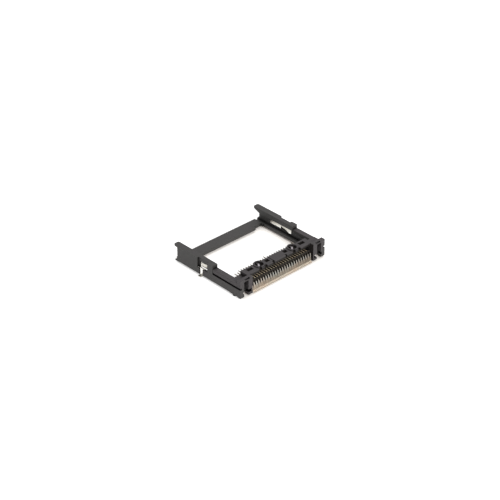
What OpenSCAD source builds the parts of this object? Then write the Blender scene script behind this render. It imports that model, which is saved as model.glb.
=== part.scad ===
// Card socket for a 50 pin memory card: a pin header with a guide frame round the card bay.
// X runs along the contact row, Y points to the card entry, Z is up and the board top is Z = 0.
// The origin is the middle of the front line of the header's end blocks, on the board.

/* [Card] */
// Width of the card that the bay takes
card_w = 42.8; // [42.4:0.1:43.2]
// Thickness of the card at its edges
card_edge_t = 3.3; // [3.1:0.1:3.5]
// Play between the card and the bay on each side
side_play = 0.15; // [0.05:0.05:0.25]
// Play between the card and the grooves, above it
groove_play = 0.15; // [0.1:0.05:0.3]
// Height of the groove floor over the board
floor_z = 1.6; // [1.4:0.1:2.0]

/* [Contacts] */
// Contacts in each of the two rows
row_count = 25; // [20:1:25]
// Pitch of the contacts along a row
pitch = 1.27; // [1.20:0.01:1.30]
// Distance between the two rows
row_gap = 1.27; // [1.2:0.01:1.4]
// Diameter of a mating pin
pin_d = 0.42; // [0.36:0.02:0.5]
// Length of the conical pin point
pin_point = 0.45; // [0.2:0.05:0.6]
// Width of the flat contact strip
strip_w = 0.42; // [0.3:0.02:0.46]
// Thickness of the flat contact strip
strip_t = 0.24; // [0.16:0.02:0.3]
// Reach of the first-mate power pins from the pin field
pin_long = 5.0; // [4.6:0.1:5.4]
// Reach of the signal pins
pin_mid = 4.25; // [3.9:0.05:4.5]
// Reach of the last-mate card detect pins
pin_short = 3.5; // [3.0:0.1:3.8]
// Inner radius of the bends in a contact
bend_r = 0.3; // [0.2:0.05:0.4]
// Place of the outer face of a tail just under its top bend
tail_top_y = 0.45; // [0.2:0.05:0.8]
// How far a tail leans forward on its way down
tail_lean = 0.22; // [0:0.02:0.4]
// Length of the soldered foot past the tail
foot_len = 0.75; // [0.4:0.05:1.2]
// Clearance between a contact and its hole
contact_fit = 0.02; // [0.01:0.01:0.04]

/* [Header] */
// Thickness of the side walls beside the bay
wall_t = 1.35; // [1.25:0.05:1.7]
// Width of the ledges and flanges that hold the card's edges
ledge_w = 1.35; // [1.1:0.05:1.5]
// Gap between the last contact tail and the end block
row_end_gap = 0.35; // [0.3:0.05:0.6]
// Height of the end blocks and of the top plate
header_h = 7.5; // [7.2:0.1:8.0]
// Depth of the tall front part of an end block
block_tall_d = 1.9; // [1.7:0.1:2.2]
// Front to back depth of the header
header_d = 5.9; // [5.7:0.1:6.4]
// Thickness of the wall that holds the pins
pin_wall_t = 1.6; // [1.2:0.1:1.7]
// How far the pin field stands out behind the top plate, as the card's stop
pin_field_d = 0.6; // [0.3:0.1:0.8]
// Thickness of the top plate
plate_t = 1.0; // [0.8:0.1:1.2]
// Distance of the top plate's front edge from the block front
plate_front_y = 1.8; // [1.6:0.1:2.0]
// Overlap of the raised top plate on an end block
plate_lap = 0.95; // [0.6:0.05:1.2]
// Half width of the middle pad on the top plate
pad_half = 2.9; // [2.4:0.1:3.2]
// Rise of that pad
pad_h = 0.15; // [0.1:0.05:0.3]
// Radius of a boss
boss_r = 2.3; // [2.1:0.1:2.4]
// Rise of a boss over the top plate
boss_h = 0.35; // [0.2:0.05:0.5]
// Distance of the comb wall's front face from the block front
comb_y = 1.7; // [1.6:0.05:1.9]
// Thickness of the comb wall
comb_t = 0.4; // [0.35:0.05:0.6]
// Height of the comb wall above the upper contacts
comb_rise = 0.4; // [0.35:0.05:0.7]
// Height of the header's underside over the board between the blocks
belly_z = 0.4; // [0.2:0.05:0.6]
// Height of the guide arms
arm_h = 6; // [5.7:0.05:6.2]
// Gap between a guide arm's end and the ear
arm_gap = 0.1; // [0.05:0.05:0.5]
// Depth of the front recess of an end block, below the arm level
recess_d = 3.0; // [2.6:0.1:3.4]
// Height of the lip that bridges the recess
lip_h = 0.85; // [0.7:0.05:0.95]
// Thickness of that lip
lip_t = 0.25; // [0.2:0.05:0.4]
// Width of the open slit behind the lip
slit_w = 0.4; // [0.3:0.05:0.6]
// How far the header's outer faces lie inside the frame's
head_inset = 0.1; // [0.05:0.05:0.2]

/* [Guide frame] */
// Reach of the side walls behind the header front
wall_end_y = 36.2; // [34:0.1:37]
// Reach of the ears' top flange past the side walls
ear_reach = 2.15; // [1.6:0.05:2.6]
// Reach of the floor flange and of the cross bar past the side walls
floor_reach = 1.3; // [0.9:0.05:1.7]
// Distance from the header front to the step where the ears begin
ear_start_y = 15.6; // [15.5:0.1:17]
// Height of the ears
ear_h = 7.45; // [7.2:0.05:7.8]
// Thickness of the ears' top flange
ear_flange_t = 2.2; // [2:0.05:2.3]
// Height of the frame's underside over the board
rail_z = 0.3; // [0.2:0.05:0.5]
// Height of the front rail's outer wall, at the seam
seam_z = 3.7; // [3.4:0.05:3.8]
// Height of the open seam under the guide arm
seam_h = 0.8; // [0.5:0.05:0.9]
// Depth of the open seam
seam_d = 0.85; // [0.5:0.05:0.95]
// Front to back width of the cross bar
bar_w = 5.3; // [4:0.1:6]
// Diameter of the locating pegs
peg_d = 1.6; // [1.2:0.1:1.8]
// Length of the locating pegs below the board top
peg_len = 0.6; // [0.4:0.1:1.2]
// Distance of the locating pegs from the header front
peg_y = 4.1; // [3:0.1:4.6]
// Distance of the locating pegs from the frame's outer face
peg_in = 1.05; // [1:0.05:1.2]

/* [Side clips] */
// Thickness of the clip metal
clip_t = 0.25; // [0.2:0.05:0.3]
// Distance of the clip's front end from the step of the ear
clip_in = 1.6; // [1.2:0.1:2.2]
// Length of the clip
clip_len = 12.3; // [11:0.1:13.3]
// Distance of the outer window from the clip's front end
window_in = 1.4; // [1:0.1:1.8]
// Length of the outer window in the side wall
window_len = 5.8; // [5.4:0.1:6.4]
// Depth of the outer window
window_d = 0.83; // [0.6:0.01:0.9]
// Height of the window's ledge, under the clip's tongue
ledge_z = 3.2; // [3:0.05:3.4]
// Height of the clip's upper edge, hidden in the ear's flange
clip_top = 5.6; // [5.4:0.05:5.8]
// Inward bow of the clip's spring arm
arm_bow = 0.5; // [0.2:0.05:0.8]
// Width of the solder leg
leg_w = 1.5; // [1.4:0.1:2]
// Reach of the solder foot beyond the outer face
clip_foot = 0.8; // [0.5:0.05:1.2]

/* [Hidden] */
eps = 0.05;
past = 1;
far = 60;

bay_half = card_w / 2 + side_play;
half_w = bay_half + wall_t;
head_half = half_w - head_inset;
flange_w = wall_t + ledge_w;
flange_x = half_w - flange_w;
card_mid_z = floor_z + card_edge_t / 2;
groove_top = floor_z + card_edge_t + groove_play;
row_z = [card_mid_z + row_gap / 2, card_mid_z - row_gap / 2];
row_half = pitch * (row_count - 1) / 2;
row_x0 = -row_half;
jog = pitch / 2;
contact_count = 2 * row_count;

pin_wall_y = header_d - pin_wall_t;
pin_field_y = header_d + pin_field_d;
comb_back_y = comb_y + comb_t;
block_x = row_half + jog + strip_w / 2 + row_end_gap;
plate_half_w = block_x + plate_lap;
upper_seam_z = seam_z + seam_h;
plate_z = header_h - plate_t;
hole_h = pin_d + 2 * contact_fit;
hole_w = max(pin_d, strip_w) + 2 * contact_fit;

arm_end_y = ear_start_y - arm_gap;
flange_end_y = wall_end_y + ear_reach;
floor_end_y = wall_end_y + floor_reach;
clip_y0 = ear_start_y + clip_in;
clip_y1 = clip_y0 + clip_len;
window_y0 = clip_y0 + window_in;
window_y1 = window_y0 + window_len;
flange_z = ear_h - ear_flange_t;

// Trough between the comb wall and the pin wall, and the strips that cross it
trough_drop = 0.1;
trough_z = row_z[1] - hole_h / 2 - trough_drop;
jog_run_in = 0.25;
pin_root = 0.4;
pin_tip = 0.4;

// Top plate: slots as distance from the middle and length
plate_slots = [[13.9, 2.9], [4.85, 1.9]];
plate_slot_w = 1.6;
plate_slot_y = 4.3;
plate_slot_deep = 2.4;
boss_share = 0.59;
boss_x = boss_share * row_half;
boss_y = 4.3;
boss_pocket_r = 1.75;
boss_pocket_z = header_h - 0.6;
boss_rib = 0.7;
boss_rib_z = header_h;
boss_rib_y = boss_y + 0.15;
boss_eye = 1.0;
// Notches of its front edge as distance from the middle and width
boss_notch = [1.45, 1.5];
notches = [
    [3.4, 0.8], [boss_x - boss_notch[0], boss_notch[1]], [boss_x + boss_notch[0], boss_notch[1]]];
notch_d = 0.9;

// Frame's rail beside the block
rail_offset = 0.6;
rail_x = flange_x + rail_offset;
block_gap = 0.05;

// End block: recess, slit and the undercut over the foot of the inner post
post_share = 0.48;
recess_x1 = rail_x;
recess_x0 = block_x + post_share * (rail_x - block_x);
recess_drop = 0.9;
tall_back_t = 0.45;
slit_out = 0.7;
slit_in = 0.5;
lip_drop = 0.45;
post_edge = 0.5;
post_foot_h = 1.0;
post_cut_z = 2.4;
post_cut_d = 1.9;
post_d = 2.0;
arm_lip = 0.2;
arm_chamfer = 0.15;

// Frame: edges, ends and feet
chamfer = 0.2;
ear_round = 0.9;
ear_round_in = 0.7;
ear_tip_t = 0.75;
ear_lead = 2.0;
lead_in = 0.8;
gusset = 0.7;
rib_y = 1.2;
rib_h = 1.3;
rib_w = 0.65;
pad_inset = 0.3;
pad_outer = 0.8;
pad_len = 1.7;
front_foot_len = 1.6;
front_foot_in = 0.1;
peg_shoulder = 0.2;
relief_w = 0.5;
relief_z = [1.2, 2.4];
relief_d = 1.5;
bar_relief = [0.4, 4.4];
bar_relief_d = 1.0;

// Clip: window web, slot for the leg, seat in the wall and steps of the plate
seat_play = 0.05;
web_edge = [0.3, 0.8];
web_top = 5.9;
slot_play = 0.2;
leg_offset = 2.95;
leg_y0 = window_y0 + leg_offset;
leg_y1 = leg_y0 + leg_w;
leg_in = 0.3;
tongue_in = 2.0;
tongue_gap = 0.25;
tongue_y = [window_y0 + tongue_in, window_y1 - seat_play];
seat_z = 2.65;
step_y = clip_y0 + clip_len / 2;
root_len = 0.45;
root_z = 4.75;
arm_root_z = 3.6;
arm_mid_y = 2.8;
arm_mid_z = 3.4;
arm_end_z = 2.85;
arm_top = flange_z - 0.03;
arm_bow_y = 1.0;
arm_end_out = 0.3;
clip_bend = 0.15;

function two_digits(n) = n < 10 ? str("0", n) : str(n);
contact_names = [for (n = [1 : contact_count]) str("contact_", two_digits(n))];

// A box given by its two corners
module span(a, b) {
    translate(a) cube([b[0] - a[0], b[1] - a[1], b[2] - a[2]]);
}

// Both sides of a part drawn on the +X side
module both_sides() {
    children();
    mirror([1, 0, 0]) children();
}

// A profile in the Y-Z plane, extruded along X and centred on x
module side_profile(x, width, points) {
    translate([x - width / 2, 0, 0])
        rotate([90, 0, 90])
            linear_extrude(width) polygon(points);
}

// A profile in the X-Z plane, extruded from y0 to y1
module end_profile(y0, y1, points) {
    translate([0, y1, 0])
        rotate([90, 0, 0])
            linear_extrude(y1 - y0) polygon(points);
}

// A profile in the X-Y plane, extruded from z0 to z1
module plan_profile(z0, z1, points) {
    translate([0, 0, z0]) linear_extrude(z1 - z0) polygon(points);
}

// Points of an arc in a plane, from angle a0 to a1
function arc(c, r, a0, a1, steps = 3) =
    [for (i = [0 : steps]) c + r * [cos(a0 + (a1 - a0) * i / steps), sin(a0 + (a1 - a0) * i / steps)]];

// Header housing, one black moulding
module top_plate_solid() {
    span([-plate_half_w, plate_front_y, plate_z], [plate_half_w, header_d, header_h]);
    span([-pad_half, plate_front_y, header_h - eps], [pad_half, header_d, header_h + pad_h]);
    for (s = [-1, 1])
        translate([s * boss_x, boss_y, plate_z]) cylinder(r = boss_r, h = plate_t + boss_h, $fn = 36);
}

// Slots, notches and boss pockets of the top plate, on the +X side
module top_plate_cuts() {
    for (s = plate_slots)
        translate([s[0] - s[1] / 2, plate_slot_y - plate_slot_w / 2, header_h - plate_slot_deep])
            cube([s[1], plate_slot_w, plate_slot_deep + past]);
    for (n = notches)
        translate([n[0] - n[1] / 2, plate_front_y - past, plate_z - eps])
            cube([n[1], notch_d + past, plate_t + past]);
    difference() {
        translate([boss_x, boss_y, boss_pocket_z]) cylinder(r = boss_pocket_r, h = far, $fn = 32);
        translate([boss_x - boss_rib / 2, boss_rib_y, boss_pocket_z - eps])
            cube([boss_rib, far, boss_rib_z - boss_pocket_z + eps]);
    }
    for (s = [-1, 1])
        translate([boss_x + s * (boss_rib + boss_eye) / 2, boss_y, plate_z - eps])
            cylinder(d = boss_eye, h = plate_t, $fn = 24);
}

module header_end_block() {
    difference() {
        union() {
            // Block body beside the frame's rail, and the part above the seam
            span([block_x, 0, 0], [rail_x - block_gap, header_d, arm_h]);
            span([block_x, 0, upper_seam_z], [head_half, header_d, arm_h]);
            span([recess_x1 - eps, 0, seam_z], [half_w - seam_d, header_d, upper_seam_z + eps]);
            // Tall front wall
            span([block_x, 0, arm_h - eps], [head_half, block_tall_d, header_h]);
            // Cheek that carries the end of the top plate
            span([block_x, block_tall_d - eps, arm_h - eps], [plate_half_w, header_d, header_h]);
        }
        // Front recess, open below, with a slit to the top behind its lip
        span([recess_x0, -past, -past], [recess_x1, recess_d, arm_h - recess_drop]);
        span([recess_x0, -past, arm_h - recess_drop - eps],
            [recess_x1, block_tall_d - tall_back_t, header_h - lip_h]);
        span([recess_x0 - slit_out, lip_t, header_h - lip_h - eps],
            [recess_x1 - slit_in, lip_t + slit_w, header_h + past]);
        span([recess_x0 - slit_out, -past, header_h - lip_drop],
            [recess_x1 - slit_in, lip_t + eps, header_h + past]);
        // Underside behind the posts is clear of the board
        span([block_x - eps, post_d, -past], [half_w, header_d + past, belly_z]);
        // Undercut above the foot of the inner post
        span([block_x + post_edge, -past, post_foot_h], [recess_x0 + eps, post_cut_d, post_cut_z]);
    }
}

module header_guide_arm() {
    // Side wall above the seam, its tongue and the flange over the card edge
    end_profile(header_d - eps, arm_end_y, [
        [flange_x + arm_lip, groove_top], [bay_half, groove_top], [bay_half, seam_z],
        [half_w - seam_d, seam_z], [half_w - seam_d, upper_seam_z], [head_half, upper_seam_z],
        [head_half, arm_h - arm_chamfer], [head_half - arm_chamfer, arm_h], [flange_x + arm_lip, arm_h]]);
}

// Square hole for a contact, from y0 to y1
module contact_hole(x, z, y0, y1) {
    span([x - hole_w / 2, y0, z - hole_h / 2], [x + hole_w / 2, y1, z + hole_h / 2]);
}

module header_housing() {
    color([0.2, 0.2, 0.21]) {
        difference() {
            union() {
                // Pin wall with its raised pin field, trough floor and comb wall
                span([-block_x - eps, pin_wall_y, belly_z], [block_x + eps, header_d, header_h]);
                span([-block_x, header_d - eps, floor_z], [block_x, pin_field_y, floor_z + card_edge_t]);
                span([-block_x - eps, comb_y, belly_z], [block_x + eps, header_d, trough_z]);
                span([-block_x - eps, comb_y, belly_z], [block_x + eps, comb_back_y, row_z[0] + comb_rise]);
                top_plate_solid();
                both_sides() {
                    header_end_block();
                    header_guide_arm();
                }
            }
            both_sides() top_plate_cuts();
            // Holes for the two rows of contacts; the lower row is offset in the comb wall
            for (i = [0 : row_count - 1]) {
                contact_hole(row_x0 + i * pitch, row_z[0], 0, far);
                contact_hole(row_x0 + i * pitch, row_z[1], pin_wall_y - eps, far);
                contact_hole(row_x0 + i * pitch - jog, row_z[1], 0, comb_back_y + eps);
            }
        }
    }
}

// Guide frame, one black moulding
module frame_side_solid() {
    tip_z = ear_h - ear_tip_t;
    // Front rail: outer wall below the seam, and the ledge under the card
    end_profile(header_d, ear_start_y + eps, [
        [flange_x, rail_z], [half_w - chamfer, rail_z], [half_w, rail_z + chamfer], [half_w, seam_z],
        [bay_half, seam_z], [bay_half, floor_z], [flange_x, floor_z]]);
    // Rail beside the end block
    span([rail_x, 0, rail_z], [half_w, header_d + eps, seam_z]);
    // Ear wall and floor flange
    end_profile(ear_start_y, wall_end_y, [
        [flange_x, rail_z], [half_w - chamfer, rail_z], [half_w, rail_z + chamfer], [half_w, ear_h - eps],
        [bay_half, ear_h - eps], [bay_half, floor_z], [flange_x, floor_z]]);
    // Top flange of the ear: rounded end, lead-in under it and a thin tip past the wall
    difference() {
        plan_profile(flange_z, ear_h, concat(
            [[flange_x, ear_start_y], [half_w, ear_start_y]],
            arc([half_w - ear_round, flange_end_y - ear_round], ear_round, 0, 90, 5),
            arc([flange_x + ear_round_in, flange_end_y - ear_round_in], ear_round_in, 90, 180, 5)));
        side_profile(half_w, 4 * flange_w, [
            [wall_end_y - ear_lead, flange_z], [wall_end_y - ear_lead, flange_z - past],
            [flange_end_y + past, flange_z - past], [flange_end_y + past, tip_z], [flange_end_y, tip_z]]);
        side_profile(half_w, 2 * wall_t, [
            [wall_end_y, flange_z - past], [flange_end_y + past, flange_z - past],
            [flange_end_y + past, tip_z], [wall_end_y + chamfer, tip_z], [wall_end_y, tip_z - chamfer]]);
    }
    // Floor flange with its lead-in slope, and the gusset at the foot of the wall
    side_profile(half_w - flange_w / 2, flange_w, [
        [wall_end_y - past, rail_z], [floor_end_y, rail_z], [floor_end_y, floor_z - lead_in],
        [wall_end_y + chamfer, floor_z], [wall_end_y - past, floor_z]]);
    side_profile(half_w - wall_t / 2, wall_t, [
        [wall_end_y - eps, floor_z - eps], [wall_end_y + chamfer, floor_z - eps],
        [wall_end_y + gusset / 2, floor_z], [wall_end_y, floor_z + gusset],
        [wall_end_y - eps, floor_z + gusset]]);
    side_profile(bay_half + rib_w / 2, rib_w, [
        [wall_end_y - eps, floor_z - lead_in], [wall_end_y + rib_y, floor_z - lead_in],
        [wall_end_y + rib_y, floor_z], [wall_end_y, floor_z + rib_h], [wall_end_y - eps, floor_z + rib_h]]);
    // Pads under the back corner and under the front end
    span([flange_x + pad_inset, floor_end_y - pad_inset - pad_len, 0],
        [half_w - pad_outer, floor_end_y - pad_inset, rail_z + eps]);
    span([rail_x, 0, 0], [half_w - front_foot_in, front_foot_len, rail_z + eps]);
    // Locating peg with its shoulder
    translate([half_w - peg_in, peg_y, 0]) cylinder(r = peg_d / 2 + peg_shoulder, h = rail_z + eps, $fn = 32);
    translate([half_w - peg_in, peg_y, -peg_len]) cylinder(d = peg_d, h = peg_len + rail_z + eps, $fn = 32);
}

module frame_side() {
    difference() {
        frame_side_solid();
        // Outer window of the side clip, its deeper opening and the slot for the solder leg
        span([half_w - window_d, window_y0, ledge_z], [far, window_y1, ear_h + past]);
        span([bay_half - eps, window_y0 + web_edge[0], ledge_z], [far, window_y1 - web_edge[1], web_top]);
        span([bay_half - eps, window_y0 + web_edge[0], ledge_z],
            [far, tongue_y[1] + seat_play, ledge_z + 2 * clip_t]);
        span([half_w - window_d, leg_y0 - slot_play, -past], [far, leg_y1 + slot_play, ledge_z + eps]);
        // Seat of the clip in the inner face
        span([bay_half - eps, clip_y0 - seat_play, seat_z],
            [bay_half + clip_t, clip_y1 + seat_play, clip_top + seat_play]);
        // Relief beside the front foot
        span([rail_x - past, -past, relief_z[0]], [rail_x + relief_w, relief_d, relief_z[1]]);
    }
}

module guide_frame() {
    bar_y = floor_end_y - bar_w;
    color([0.22, 0.22, 0.22]) {
        both_sides() frame_side();
        // Cross bar with a shallow relief next to each rail
        difference() {
            span([-flange_x - eps, bar_y, rail_z], [flange_x + eps, floor_end_y, floor_z]);
            both_sides()
                span([flange_x - bar_relief[1], bar_y - past, rail_z - past],
                    [flange_x - bar_relief[0], bar_y + bar_relief_d, floor_z + past]);
        }
    }
}

// Side clip on the +X side: plate with a bowed spring arm, tongue over the ledge and solder leg
module side_clip() {
    x0 = bay_half;
    x1 = bay_half + clip_t;
    root_y = step_y - root_len;
    leg_x = half_w - leg_in;
    foot_x = half_w + clip_foot;
    top = ledge_z + clip_t;
    bend = clip_t + clip_bend;
    color([0.86, 0.86, 0.82]) {
        // Plate in its seat and the root of the arm
        span([x0, step_y, seat_z], [x1, clip_y1, clip_top]);
        span([x0, root_y - eps, root_z], [x1, step_y + eps, clip_top]);
        // Spring arm, bowed into the bay, turned out again at its end and narrower towards its root
        intersection() {
            plan_profile(arm_end_z - past, arm_top, [
                [x0, root_y], [x1, root_y], [x1 - arm_bow, clip_y0 + arm_bow_y], [x1 - arm_end_out, clip_y0],
                [x0 - arm_end_out, clip_y0], [x0 - arm_bow, clip_y0 + arm_bow_y]]);
            side_profile(bay_half, 4 * arm_bow + 4 * clip_t, [
                [root_y, arm_root_z], [root_y, arm_top + past], [clip_y0, arm_top + past],
                [clip_y0, arm_end_z], [clip_y0 + arm_bow_y, arm_end_z], [clip_y0 + arm_mid_y, arm_mid_z]]);
        }
        // Tongue on the ledge on both sides of the leg, joined to the plate behind the arm
        span([x1 + tongue_gap, tongue_y[0], ledge_z], [leg_x - bend, tongue_y[1], top]);
        span([leg_x - bend - eps, tongue_y[0], ledge_z], [leg_x, leg_y0, top]);
        span([leg_x - bend - eps, leg_y1, ledge_z], [leg_x, tongue_y[1], top]);
        span([x1 - eps, step_y, ledge_z], [x1 + tongue_gap + eps, tongue_y[1], top]);
        // Leg through the slot, with the soldered foot
        end_profile(leg_y0, leg_y1, concat(
            [[leg_x - bend - eps, ledge_z], [leg_x - bend - eps, top]],
            arc([leg_x - bend, top - bend], bend, 90, 0, 3),
            arc([leg_x + clip_bend, bend], clip_bend, 180, 270, 3),
            [[foot_x, clip_t], [foot_x, 0]],
            arc([leg_x + clip_bend, bend], bend, 270, 180, 3),
            arc([leg_x - bend, top - bend], clip_bend, 0, 90, 3)));
    }
}

module left_side_clip() {
    mirror([1, 0, 0]) side_clip();
}

module right_side_clip() {
    side_clip();
}

// Reach of the pin by its number: power pins are longest, the detect pins shortest
function pin_reach(n) =
    n == 1 || n == 13 || n == 38 || n == 50 ? pin_long :
    n == 25 || n == 26 ? pin_short : pin_mid;

// Tail of a contact from its soldered foot over its top bend to y_end, as a strip in the Y-Z plane
module contact_tail(x, z, y_end) {
    top = z + strip_t / 2;
    outer = bend_r + strip_t;
    foot_y = tail_top_y - tail_lean;
    side_profile(x, strip_w, concat(
        [[y_end, top]],
        arc([tail_top_y + outer, top - outer], outer, 90, 180),
        arc([foot_y - bend_r, strip_t + bend_r], bend_r, 0, -90, 2),
        [[foot_y - foot_len, strip_t], [foot_y - foot_len, 0]],
        arc([foot_y - bend_r, outer], outer, -90, 0, 2),
        arc([tail_top_y + outer, top - outer], bend_r, 180, 90),
        [[y_end, top - strip_t]]));
}

// Strip across the trough that steps sideways from the tail at x0 to the pin at x1
module stepped_strip(x0, x1, z) {
    h = strip_w / 2;
    ya = comb_back_y - eps;
    yb = comb_back_y + jog_run_in;
    yc = pin_wall_y - jog_run_in;
    yd = pin_wall_y + pin_root;
    plan_profile(z - strip_t / 2, z + strip_t / 2,
        [[x0 - h, ya], [x0 + h, ya], [x0 + h, yb], [x1 + h, yc],
         [x1 + h, yd], [x1 - h, yd], [x1 - h, yc], [x0 - h, yb]]);
}

// Round pin with a conical point, from the pin wall into the bay
module mating_pin(x, z, reach) {
    r = pin_d / 2;
    length = pin_field_y - pin_wall_y + reach;
    translate([x, pin_wall_y, z]) rotate([-90, 0, 0]) rotate_extrude($fn = 13)
        polygon([[0, 0], [r, 0], [r, length - pin_point], [r * pin_tip, length], [0, length]]);
}

module contact(n) {
    row = n <= row_count ? 0 : 1;
    x = -row_x0 - (n - 1 - row * row_count) * pitch;
    z = row_z[row];
    color([0.8, 0.72, 0.5]) {
        mating_pin(x, z, pin_reach(n));
        if (row == 0) {
            contact_tail(x, z, pin_wall_y + pin_root);
        } else {
            contact_tail(x - jog, z, comb_back_y);
            stepped_strip(x - jog, x, z);
        }
    }
}

header_housing();
guide_frame();
left_side_clip();
right_side_clip();
for (n = [1 : contact_count])
    contact(n);
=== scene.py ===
"""Looks of the memory card socket: camera, light, paper, plastic and plated metal."""
import math

import bpy
from mathutils import Matrix, Vector


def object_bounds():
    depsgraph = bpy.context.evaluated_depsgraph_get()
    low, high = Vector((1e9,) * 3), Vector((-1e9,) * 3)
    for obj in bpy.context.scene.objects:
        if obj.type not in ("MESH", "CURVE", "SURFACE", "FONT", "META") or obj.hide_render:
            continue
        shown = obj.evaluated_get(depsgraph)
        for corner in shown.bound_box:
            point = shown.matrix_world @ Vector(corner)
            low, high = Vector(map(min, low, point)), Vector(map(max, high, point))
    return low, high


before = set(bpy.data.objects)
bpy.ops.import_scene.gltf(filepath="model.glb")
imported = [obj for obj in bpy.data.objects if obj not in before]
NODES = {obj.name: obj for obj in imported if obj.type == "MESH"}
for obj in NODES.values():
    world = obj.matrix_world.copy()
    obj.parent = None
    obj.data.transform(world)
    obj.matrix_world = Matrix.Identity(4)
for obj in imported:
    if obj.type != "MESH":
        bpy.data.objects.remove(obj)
cad_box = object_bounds()

MM = 0.001
WHITE = (1.0, 1.0, 1.0)


def grey(level):
    return (level, level, level)


def mirrored(low, high):
    """A box, by its lowest and highest corner, and its mirror image across the socket's middle."""
    return (low, high), ((-high[0], low[1], low[2]), (-low[0], high[1], high[2]))


# Camera fitted to the photograph, in millimetres and degrees
CAM_AZ = -43.4353
CAM_EL = 31.9908
CAM_ROLL = 0.1107
CAM_DIST = 543.863
CAM_FOCAL_PX = 1379.05
CAM_SHIFT = (0.585, -0.418)
CAM_TARGET = Vector((0.0, 18.0, 3.45))
CAM_CLIP_M = (0.01, 20.0)
PHOTO_PX = 500
SENSOR_MM = 36.0

# Light: a cool fill all round, and lamps by name, place and width in millimetres, watts and colour
FILL_STRENGTH = 0.38
FILL_COLOUR = (0.97, 0.985, 1.0)
BACKGROUND_STRENGTH = 1.0
LAMP_AIM = (0, 15, 4)
LAMPS = (
    ("key", (-180, -640, 460), 420, 4.6, (1.0, 0.985, 0.965)),
    ("top", (120, 60, 760), 520, 1.4, WHITE),
)

# Paper: the locating pegs stand on it
PAPER_Z = cad_box[0][2]
PAPER_HALF_M = 3.0
PAPER_TONES = ((0.94, 0.94, 0.93), (0.97, 0.97, 0.96))
PAPER_GLOW = 0.55
# The painted shadow on the paper fades out to the left of the socket, between these X places in
# millimetres
PAPER_CLEAR_X = (-20.5, -22.5)

# Noise scales in cells a metre, so a smaller number gives larger patches
FLOW_SCALE = 160.0
GRAIN_SCALE = 5200.0
TARNISH_SCALE = 500.0
CLOUD_SCALE = 240.0
SPECK_SCALE = 2600.0
CLIP_CLOUD_SCALE = 900.0
ROLLING_SCALE = 6000.0
FIBRE_SCALE = 900.0

# Values between which nearly all of a noise lies, and the narrower span of the contacts' clouds
NOISE_SPAN = (0.3, 0.7)
CLOUD_SPAN = (0.35, 0.65)

# Relief of every grain, in millimetres
BUMP_MM = 0.02

# How far a face's normal points along an axis: none of the mask at the first, all at the second
UPWARD = (0.4, 0.8)
SIDEWAYS = (0.5, 0.8)

# Painted shade by how open a place is, from 0 to 1, after the reach in millimetres that is looked round
POCKET_SHADE = (2.2, [(0.34, grey(0.03)), (0.6, grey(0.28)), (0.84, WHITE)])
CREASE_SHADE = (1.1, [(0.45, grey(0.25)), (0.82, WHITE)])
CONTACT_GAP_SHADE = (0.7, [(0.35, (0.04, 0.035, 0.03)), (0.65, (0.6, 0.58, 0.56)), (0.8, WHITE)])
CLIP_SEAT_SHADE = (0.8, [(0.2, grey(0.35)), (0.6, WHITE)])
# Painted shadow on the paper's glow around the part
PAPER_SHADE = (5.0, [
    (0.3, (0.25, 0.21, 0.18)), (0.55, (0.46, 0.40, 0.36)), (0.78, (0.70, 0.65, 0.58)), (0.97, WHITE)])
SHELTER_SAMPLES = 12

# Plastic of the two mouldings: tone of the dark flow marks, the plain faces and the pale flow marks
HOUSING_TONES = ((0.050, 0.045, 0.046), (0.060, 0.054, 0.056), (0.068, 0.060, 0.063))
FRAME_TONES = ((0.050, 0.049, 0.047), (0.059, 0.056, 0.055), (0.067, 0.062, 0.064))
# Values of the flow noise at which those three tones stand
FLOW_STOPS = (0.32, 0.55, 0.72)
PLASTIC_DETAIL = 2.0
PLASTIC_SPECULAR = 0.2
PLASTIC_ROUGHNESS = (0.42, 0.58)
PLASTIC_BUMP = 0.25

# Places of the header with painted shade or a painted glint, as boxes in millimetres, and how far they
# fade
PATCH_FADE = 0.1
# The front recess, behind and above the tails, with painted shade at heights in millimetres
RECESS = ((-15.9, 0.9, 0.6), (15.9, 6.0, 7.2))
RECESS_SHADE = [
    (3.02, (0.010, 0.008, 0.007)), (3.60, (0.038, 0.033, 0.030)), (4.10, (0.024, 0.021, 0.018)),
    (4.26, (0.048, 0.043, 0.038)), (4.46, (0.048, 0.043, 0.038)), (5.40, (0.011, 0.009, 0.008))]
# Painted shade on the block walls at both ends of the recess
RECESS_ENDS = mirrored((16.2, 0.12, 0.1), (16.6, 6.0, 7.2))
RECESS_END_SHADE = (0.020, 0.017, 0.017)
# Painted shade in the card grooves under the two guide arms
GROOVES = mirrored((19.9, 6.2, 1.5), (21.7, 15.6, 5.85))
GROOVE_SHADE = (0.014, 0.012, 0.011)
# A painted glint on the front ends of the ribs in the two round bosses: full tone to the first
# radius and none from the second one on
GLINT_SPOTS = ((-8.99, 4.45, 7.15), (8.99, 4.45, 7.15))
GLINT_RADII = (0.35, 0.6)
GLINT_TONE = (0.62, 0.58, 0.62)

# Borders along a contact, in millimetres: where the change starts and where it is complete
FOOT_END_Y = (-0.47, -0.51)
RUN_Y = (0.6, 0.9)
LYING_Y = (1.4, 1.8)
STRIP_Y = (1.6, 2.1)
BEFORE_TROUGH_Y = (2.2, 1.8)
PIN_Y = (6.0, 6.6)
ABOVE_FOOT_Z = (0.4, 0.7)
SIDE_SHADE_Z = (0.6, 1.6)

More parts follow.
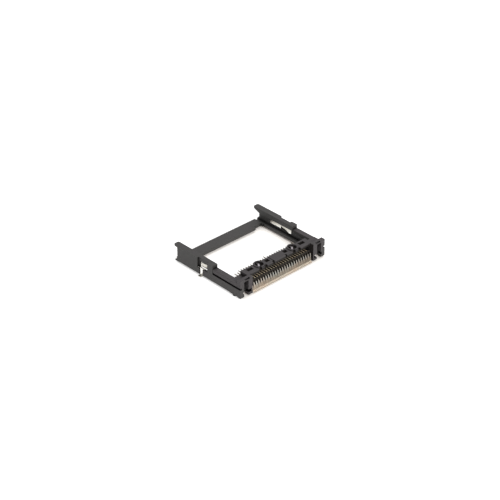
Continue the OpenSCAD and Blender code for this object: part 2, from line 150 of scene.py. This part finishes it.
# Tones of a contact, with its painted light and shade. Where a place comes first, it is in millimetres
# The tail from the board up, with painted light and shade: lit foot and bend, dull leg, painted highlight
# on the shoulder, painted shade at the top edge
TAIL_LIGHT_AND_SHADE = [
    (0.25, (0.86, 0.75, 0.62)), (0.38, (1.0, 0.89, 0.75)), (0.50, (1.0, 0.89, 0.75)),
    (0.63, (0.69, 0.60, 0.49)), (0.92, (0.44, 0.38, 0.31)), (1.55, (0.45, 0.39, 0.32)),
    (2.10, (0.42, 0.37, 0.31)), (2.94, (0.50, 0.48, 0.44)), (3.61, (0.56, 0.54, 0.50)),
    (4.03, (0.22, 0.20, 0.17))]
# The cut end of the foot, in painted shade
FOOT_END_SHADE = (0.50, 0.43, 0.34)
# The run from the top bend back to the comb wall, by height: painted shade in the lower row, lit in the
# upper
RUN_SHADE = [(2.94, (0.06, 0.05, 0.04)), (3.36, (0.44, 0.39, 0.32))]
# The strip behind the comb wall, with its painted shade from front to back
STRIP_TONES = ((0.80, 0.65, 0.45), (1.0, 0.88, 0.67))
STRIP_SHADE = [(2.87, WHITE), (3.31, grey(0.45))]
PIN_TONES = ((0.32, 0.27, 0.20), (0.50, 0.44, 0.33))
# Painted shade on the sides, which look at the next contact
SIDE_SHADE_TONE = (0.2, 0.19, 0.18)
# Painted shade along the row above its feet, from the left end of the socket to the right one
ROW_SHADE = [(-12.4, WHITE), (-3.1, grey(0.85)), (6.2, grey(0.83)), (13.95, grey(0.64))]
CLOUD_TONES = ((0.90, 0.95, 0.96), (1.0, 0.94, 0.90))
SPECK_TONES = ((0.82, 0.81, 0.80), WHITE)
CONTACT_ROUGHNESS = (0.26, 0.42)

# Tin of the clips by height in millimetres, with painted light and shade: a dark painted reflection on the
# solder foot, painted light on the leg, painted shade on the plate and arm
CLIP_LIGHT_AND_SHADE = [
    (0.28, (0.42, 0.40, 0.36)), (0.70, (0.95, 0.94, 0.90)),
    (3.08, (0.95, 0.94, 0.90)), (3.64, (0.60, 0.58, 0.53))]
CLIP_CLOUD_TONES = ((0.82, 0.82, 0.81), WHITE)
CLIP_ROUGHNESS = (0.18, 0.3)
# The rolling grain is drawn out along Y
ROLLING_STRETCH = (1.0, 0.12, 1.0)
METAL_BUMP = 0.2

# Edges: radius in millimetres, least angle between two faces in degrees, steps across the radius
METAL_EDGE = (0.04, 50.0, 1)
HOUSING_EDGE = (0.09, 35.0, 2)
FRAME_EDGE = (0.12, 35.0, 2)
# Points closer than this, in metres, are one, and faces that turn less than this, in degrees, are flat
WELD_M = 1e-6
FLAT_ANGLE = 1.0


def add_camera():
    az, el, roll = (math.radians(v) for v in (CAM_AZ, CAM_EL, CAM_ROLL))
    right = Vector((math.cos(az), math.sin(az), 0.0))
    back = Vector((math.sin(az) * math.cos(el), -math.cos(az) * math.cos(el), math.sin(el)))
    up = back.cross(right)
    turned_right = math.cos(roll) * right + math.sin(roll) * up
    turned_up = -math.sin(roll) * right + math.cos(roll) * up
    place = CAM_TARGET - CAM_SHIFT[0] * turned_right - CAM_SHIFT[1] * turned_up + CAM_DIST * back
    data = bpy.data.cameras.new("camera")
    data.sensor_width = SENSOR_MM
    data.lens = CAM_FOCAL_PX / PHOTO_PX * SENSOR_MM
    data.clip_start, data.clip_end = CAM_CLIP_M
    camera = bpy.data.objects.new("camera", data)
    bpy.context.scene.collection.objects.link(camera)
    turn = Matrix((turned_right, turned_up, back)).transposed()
    camera.matrix_world = Matrix.Translation(place * MM) @ turn.to_4x4()
    bpy.context.scene.camera = camera


def new_material(name):
    material = bpy.data.materials.new(name)
    material.use_nodes = True
    tree = material.node_tree
    tree.nodes.clear()
    return material, tree


def feed(tree, value, socket):
    """Puts a value on an input: another node's output, a plain colour or a plain number."""
    if isinstance(value, bpy.types.NodeSocket):
        tree.links.new(value, socket)
    elif isinstance(value, tuple):
        socket.default_value = (*value, 1.0)
    else:
        socket.default_value = value


def node(tree, kind, **inputs):
    """A new node. Its inputs are given by their names, with _ for a space."""
    made = tree.nodes.new(kind)
    for key, value in inputs.items():
        feed(tree, value, made.inputs[key.replace("_", " ")])
    return made


def maths(tree, operation, *values):
    """The result of a maths node on other nodes' outputs or plain numbers."""
    made = tree.nodes.new("ShaderNodeMath")
    made.operation = operation
    for socket, value in zip(made.inputs, values):
        feed(tree, value, socket)
    return made.outputs["Value"]


def axes_of(tree, vector):
    """The outputs X, Y and Z of a vector."""
    return node(tree, "ShaderNodeSeparateXYZ", Vector=vector).outputs


def object_coords(tree):
    return tree.nodes.new("ShaderNodeTexCoord").outputs["Object"]


def map_range(tree, source, low, high, start=0.0, end=1.0):
    """Start up to low and end from high on, straight in between. Low may be the larger of the two."""
    made = node(
        tree, "ShaderNodeMapRange", Value=source, From_Min=low, From_Max=high, To_Min=start, To_Max=end)
    return made.outputs["Result"]


def fade(tree, source, border):
    """0 up to the border's first place and 1 from its second one on, both in millimetres."""
    return map_range(tree, source, border[0] * MM, border[1] * MM)


def ramp(tree, source, stops):
    made = tree.nodes.new("ShaderNodeValToRGB")
    elements = made.color_ramp.elements
    while len(elements) > len(stops):
        elements.remove(elements[-1])
    while len(elements) < len(stops):
        elements.new(0.5)
    for element, (place, colour) in zip(elements, stops):
        element.position = place
        element.color = (*colour, 1.0)
    tree.links.new(source, made.inputs["Fac"])
    return made.outputs["Color"]


def tones_along(tree, source, stops):
    """A ramp whose stops are at places in millimetres along one axis."""
    first, last = stops[0][0], stops[-1][0]
    shares = [((place - first) / (last - first), colour) for place, colour in stops]
    return ramp(tree, fade(tree, source, (first, last)), shares)


def mottle(tree, source, tones, span=NOISE_SPAN):
    """Two tones by a noise: the first at the low end of its span, the second at the high end."""
    return ramp(tree, source, list(zip(span, tones)))


def noise(tree, coords, scale, detail=3.0, roughness=0.55):
    made = node(tree, "ShaderNodeTexNoise", Vector=coords, Scale=scale, Detail=detail, Roughness=roughness)
    return made.outputs["Fac"]


def painted_shelter_shade(tree, reach, stops):
    """Painted shade by how closely a place is hemmed in: dark down in gaps and pockets, full on open
    faces.
    """
    made = node(tree, "ShaderNodeAmbientOcclusion", Distance=reach * MM)
    made.samples = SHELTER_SAMPLES
    return ramp(tree, made.outputs["AO"], stops)


def mix_colours(tree, kind, factor, first, second):
    made = tree.nodes.new("ShaderNodeMix")
    made.data_type = "RGBA"
    made.blend_type = kind
    feed(tree, factor, made.inputs["Factor"])
    feed(tree, first, made.inputs["A"])
    feed(tree, second, made.inputs["B"])
    return made.outputs["Result"]


def multiply(tree, first, second):
    return mix_colours(tree, "MULTIPLY", 1.0, first, second)


def blend(tree, factor, first, second):
    """First where the factor is 0, second where it is 1."""
    return mix_colours(tree, "MIX", factor, first, second)


def mix_shaders(tree, factor, first, second):
    """First where the factor is 0, second where it is 1."""
    made = tree.nodes.new("ShaderNodeMixShader")
    for socket, value in zip(made.inputs, (factor, first, second)):
        tree.links.new(value, socket)
    return made.outputs["Shader"]


def normal_axes(tree):
    return axes_of(tree, tree.nodes.new("ShaderNodeNewGeometry").outputs["Normal"])


def open_faces(tree):
    """1 on faces that look up, 0 on the others."""
    return map_range(tree, normal_axes(tree)["Z"], *UPWARD)


def side_faces(tree):
    """1 on faces that look sideways along the row of contacts, 0 on the others."""
    return map_range(tree, maths(tree, "ABSOLUTE", normal_axes(tree)["X"]), *SIDEWAYS)


def within(tree, coords, box):
    """1 inside the box, fading to 0 over a short distance around it."""
    axes = axes_of(tree, coords)
    shown = 1.0
    for axis, bottom, top in zip("XYZ", *box):
        for edge, outside in ((bottom, bottom - PATCH_FADE), (top, top + PATCH_FADE)):
            shown = maths(tree, "MULTIPLY", shown, fade(tree, axes[axis], (outside, edge)))
    return shown


def near(tree, coords, places, radii):
    """1 within the first radius of one of the places, fading to 0 at the second, in millimetres."""
    full, gone = radii
    shown = 0.0
    for place in places:
        away = tree.nodes.new("ShaderNodeVectorMath")
        away.operation = "DISTANCE"
        tree.links.new(coords, away.inputs[0])
        away.inputs[1].default_value = [v * MM for v in place]
        shown = maths(tree, "MAXIMUM", shown, fade(tree, away.outputs["Value"], (gone, full)))
    return shown


def surface(tree, base, roughness, metallic, specular=0.5):
    """The shader of a material, linked to its output. Returns the shader."""
    made = node(tree, "ShaderNodeBsdfPrincipled", Base_Color=base, Roughness=roughness, Metallic=metallic)
    made.inputs["Specular IOR Level"].default_value = specular
    out = tree.nodes.new("ShaderNodeOutputMaterial")
    tree.links.new(made.outputs["BSDF"], out.inputs["Surface"])
    return made


def bump(tree, shader, height, strength):
    made = node(tree, "ShaderNodeBump", Height=height, Strength=strength, Distance=BUMP_MM * MM)
    tree.links.new(made.outputs["Normal"], shader.inputs["Normal"])


def header_painted_light(tree, coords, base):
    """The header's painted shade in its front recess, on both its ends and in the card grooves, and its
    painted glints.
    """
    # Painted shade in the front recess, on its end walls and in the card grooves
    recess = tones_along(tree, axes_of(tree, coords)["Z"], RECESS_SHADE)
    base = blend(tree, within(tree, coords, RECESS), base, recess)
    for box in RECESS_ENDS:
        base = blend(tree, within(tree, coords, box), base, RECESS_END_SHADE)
    for box in GROOVES:
        base = blend(tree, within(tree, coords, box), base, GROOVE_SHADE)
    # A painted glint on the rib in each boss
    return blend(tree, near(tree, coords, GLINT_SPOTS, GLINT_RADII), base, GLINT_TONE)


def moulded_plastic(name, tones, painted_places=None):
    """Fine matt moulded plastic: eroded grain, faint flow marks, painted shade down in its pockets and
    creases.
    """
    material, tree = new_material(name)
    coords = object_coords(tree)
    flow = noise(tree, coords, FLOW_SCALE, PLASTIC_DETAIL)
    grain = noise(tree, coords, GRAIN_SCALE, PLASTIC_DETAIL)
    base = ramp(tree, flow, list(zip(FLOW_STOPS, tones)))
    # Painted shade down in the pockets and creases
    base = multiply(tree, base, painted_shelter_shade(tree, *POCKET_SHADE))
    base = multiply(tree, base, painted_shelter_shade(tree, *CREASE_SHADE))
    # The painted shade and glints of a moulding that has them
    if painted_places:
        base = painted_places(tree, coords, base)
    roughness = map_range(tree, flow, *NOISE_SPAN, *PLASTIC_ROUGHNESS)
    shader = surface(tree, base, roughness, 0.0, PLASTIC_SPECULAR)
    bump(tree, shader, grain, PLASTIC_BUMP)
    return material


def contact_tones(tree, coords, axes):
    """A contact's tone with the painted light and shade that go by place, from the soldered foot in front
    to the pin behind.
    """
    tarnish = noise(tree, coords, TARNISH_SCALE)
    strip = mottle(tree, tarnish, STRIP_TONES)
    # Painted shade on the strip, darker towards the back
    strip = multiply(tree, strip, tones_along(tree, axes["Y"], STRIP_SHADE))
    # Painted light and shade up the tail, at the foot's cut end and on the run
    base = tones_along(tree, axes["Z"], TAIL_LIGHT_AND_SHADE)
    zones = (
        (FOOT_END_Y, FOOT_END_SHADE),
        (RUN_Y, tones_along(tree, axes["Z"], RUN_SHADE)),
        (STRIP_Y, strip),
        (PIN_Y, mottle(tree, tarnish, PIN_TONES)),
    )
    for border, tone in zones:
        base = blend(tree, fade(tree, axes["Y"], border), base, tone)
    return base


def plated_contact(name):
    """Dull tin on the tail with a painted lit foot, thin gold on the strip in the trough, a dull gold pin,
    all with painted shade.
    """
    material, tree = new_material(name)
    coords = object_coords(tree)
    axes = axes_of(tree, coords)
    above_foot = fade(tree, axes["Z"], ABOVE_FOOT_Z)
    clouds = noise(tree, coords, CLOUD_SCALE)
    specks = noise(tree, coords, SPECK_SCALE)
    base = contact_tones(tree, coords, axes)
    # Painted shade on the contacts' sides above their feet
    side_shade = maths(tree, "MULTIPLY", side_faces(tree), fade(tree, axes["Z"], SIDE_SHADE_Z))
    base = multiply(tree, base, blend(tree, side_shade, WHITE, SIDE_SHADE_TONE))
    # Painted shade along the row, left off the feet
    along_row = tones_along(tree, axes["X"], ROW_SHADE)
    base = multiply(tree, base, blend(tree, above_foot, WHITE, along_row))
    base = multiply(tree, base, mottle(tree, clouds, CLOUD_TONES, CLOUD_SPAN))
    base = multiply(tree, base, mottle(tree, specks, SPECK_TONES))
    # Painted shade in the gaps between the contacts, left off the upward faces behind the top bends
    lying = maths(tree, "MULTIPLY", open_faces(tree), fade(tree, axes["Y"], LYING_Y))
    base = multiply(tree, base, blend(tree, lying, painted_shelter_shade(tree, *CONTACT_GAP_SHADE), WHITE))
    # The soldered foot and the strip in the trough are matt, and the tail and the pin are bare metal
    tail_or_pin = maths(
        tree, "MAXIMUM", fade(tree, axes["Y"], BEFORE_TROUGH_Y), fade(tree, axes["Y"], PIN_Y))
    metallic = maths(tree, "MULTIPLY", above_foot, tail_or_pin)
    roughness = map_range(tree, specks, *NOISE_SPAN, *CONTACT_ROUGHNESS)
    shader = surface(tree, base, roughness, metallic)
    bump(tree, shader, specks, METAL_BUMP)
    return material


def tinned_clip(name):
    """Bright matt tin with a fine rolling grain, painted light on its leg, a dark painted reflection on
    its foot, and painted shade on its plate, its arm and where it goes into its seat.
    """
    material, tree = new_material(name)
    coords = object_coords(tree)
    drawn_out = node(tree, "ShaderNodeMapping", Vector=coords)
    drawn_out.inputs["Scale"].default_value = ROLLING_STRETCH
    rolled = noise(tree, drawn_out.outputs["Vector"], ROLLING_SCALE)
    # Painted light and shade by height
    base = tones_along(tree, axes_of(tree, coords)["Z"], CLIP_LIGHT_AND_SHADE)
    base = multiply(tree, base, mottle(tree, noise(tree, coords, CLIP_CLOUD_SCALE), CLIP_CLOUD_TONES))
    # Painted shade where the clip goes into its seat
    base = multiply(tree, base, painted_shelter_shade(tree, *CLIP_SEAT_SHADE))
    roughness = map_range(tree, rolled, *NOISE_SPAN, *CLIP_ROUGHNESS)
    shader = surface(tree, base, roughness, 1.0)
    bump(tree, shader, rolled, METAL_BUMP)
    return material


def dress(obj, material, edge):
    """One material and small moulded or stamped edge radii. The part's box stays as the CAD has it."""
    radius, least_angle, steps = edge
    obj.data.materials.clear()
    obj.data.materials.append(material)
    weld = obj.modifiers.new("weld", "WELD")
    weld.merge_threshold = WELD_M
    flat = obj.modifiers.new("flat", "DECIMATE")
    flat.decimate_type = "DISSOLVE"
    flat.angle_limit = math.radians(FLAT_ANGLE)
    bevel = obj.modifiers.new("edge", "BEVEL")
    bevel.width = radius * MM
    bevel.segments = steps
    bevel.limit_method = "ANGLE"
    bevel.angle_limit = math.radians(least_angle)
    bevel.use_clamp_overlap = True
    bevel.harden_normals = False


def background_rays(tree):
    """1 for the rays that show the white background: camera, mirror-like and see-through ones."""
    path = tree.nodes.new("ShaderNodeLightPath").outputs
    direct = maths(tree, "MAXIMUM", path["Is Camera Ray"], path["Is Glossy Ray"])
    return maths(tree, "MAXIMUM", direct, path["Is Transmission Ray"])


def white_paper():
    """Paper with a glow that only the background rays see, and less of it near the part as a painted
    shadow.
    """
    material, tree = new_material("white_paper")
    coords = object_coords(tree)
    fibre = noise(tree, coords, FIBRE_SCALE)
    lit = node(tree, "ShaderNodeBsdfDiffuse", Color=mottle(tree, fibre, PAPER_TONES)).outputs["BSDF"]
    # The painted shadow, left off to the left of the socket
    clear = fade(tree, axes_of(tree, coords)["X"], PAPER_CLEAR_X)
    shade = blend(tree, clear, painted_shelter_shade(tree, *PAPER_SHADE), WHITE)
    glow = node(tree, "ShaderNodeEmission", Color=shade, Strength=PAPER_GLOW)
    both = tree.nodes.new("ShaderNodeAddShader")
    tree.links.new(lit, both.inputs[0])
    tree.links.new(glow.outputs["Emission"], both.inputs[1])
    out = tree.nodes.new("ShaderNodeOutputMaterial")
    picked = mix_shaders(tree, background_rays(tree), lit, both.outputs["Shader"])
    tree.links.new(picked, out.inputs["Surface"])
    return material


def add_paper():
    half = PAPER_HALF_M
    corners = [(x, y, PAPER_Z) for x, y in ((-half, -half), (half, -half), (half, half), (-half, half))]
    mesh = bpy.data.meshes.new("paper")
    mesh.from_pydata(corners, [], [(0, 1, 2, 3)])
    mesh.materials.append(white_paper())
    paper = bpy.data.objects.new("paper", mesh)
    bpy.context.scene.collection.objects.link(paper)


def add_world():
    """A cool fill for the part, and plain white where the background itself shows."""
    world = bpy.data.worlds.new("studio")
    bpy.context.scene.world = world
    world.use_nodes = True
    tree = world.node_tree
    tree.nodes.clear()
    fill = node(tree, "ShaderNodeBackground", Color=FILL_COLOUR, Strength=FILL_STRENGTH)
    white = node(tree, "ShaderNodeBackground", Color=WHITE, Strength=BACKGROUND_STRENGTH)
    out = tree.nodes.new("ShaderNodeOutputWorld")
    picked = mix_shaders(
        tree, background_rays(tree), fill.outputs["Background"], white.outputs["Background"])
    tree.links.new(picked, out.inputs["Surface"])


def add_lamp(name, place, width, watts, colour):
    data = bpy.data.lights.new(name, "AREA")
    data.shape = "DISK"
    data.size = width * MM
    data.energy = watts
    data.color = colour
    lamp = bpy.data.objects.new(name, data)
    bpy.context.scene.collection.objects.link(lamp)
    lamp.location = Vector(place) * MM
    facing = Vector(LAMP_AIM) * MM - lamp.location
    lamp.rotation_euler = facing.to_track_quat("-Z", "Y").to_euler()


bpy.context.scene.view_settings.view_transform = "Standard"
add_camera()
add_world()
add_paper()
for lamp_values in LAMPS:
    add_lamp(*lamp_values)

housing_plastic = moulded_plastic("housing_plastic", HOUSING_TONES, header_painted_light)
frame_plastic = moulded_plastic("frame_plastic", FRAME_TONES)
contact_metal = plated_contact("contact_metal")
clip_metal = tinned_clip("clip_metal")

for name, obj in NODES.items():
    if name.startswith("contact_"):
        dress(obj, contact_metal, METAL_EDGE)
    elif name.endswith("_clip"):
        dress(obj, clip_metal, METAL_EDGE)
    elif name == "header_housing":
        dress(obj, housing_plastic, HOUSING_EDGE)
    else:
        dress(obj, frame_plastic, FRAME_EDGE)

bpy.context.view_layer.update()
